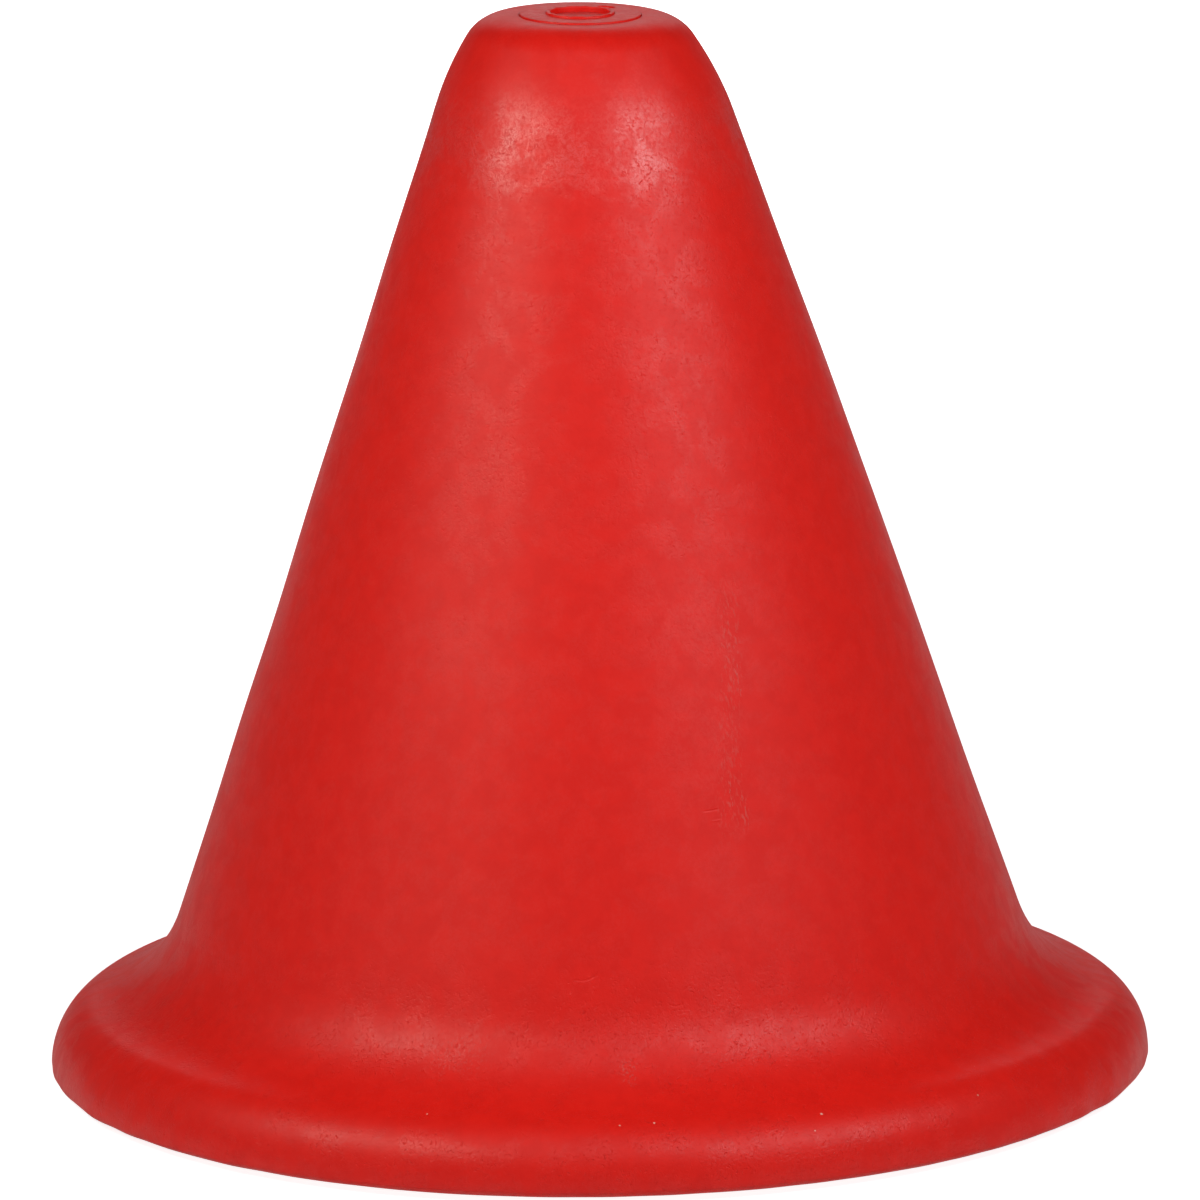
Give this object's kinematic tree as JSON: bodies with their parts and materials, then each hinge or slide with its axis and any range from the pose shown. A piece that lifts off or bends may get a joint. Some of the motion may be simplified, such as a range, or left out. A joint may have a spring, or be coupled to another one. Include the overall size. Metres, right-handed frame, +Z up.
{
  "type": "marker cone",
  "caption": "Soft moulded marker cone: a round bull-nosed foot, a straight tapering side, a rounded crown and a plugged air valve set in the crown.",
  "frame": {"origin": "on the floor under the centre of the foot, on the cone's axis", "axes": "+Z up along the cone's axis, from the foot to the crown; the picture looks along +Y, with +X to its right"},
  "size_m": [0.206, 0.206, 0.2007],
  "materials": {
    "cone_skin": "satin red soft PVC with a fine leathery skin",
    "collar_plastic": "satin red soft PVC, fused to the skin",
    "plug_plastic": "satin red plastic"
  },
  "bodies": {
    "cone": {"cone_body": "cone_skin", "valve_collar": "collar_plastic"},
    "plug": {"valve_plug": "plug_plastic"}
  },
  "joints": [
    {"name": "plug_pull", "type": "slide", "parent": "cone", "child": "plug", "axis": [0, 0, 1], "range_m": [0, 0.018]}
  ]
}
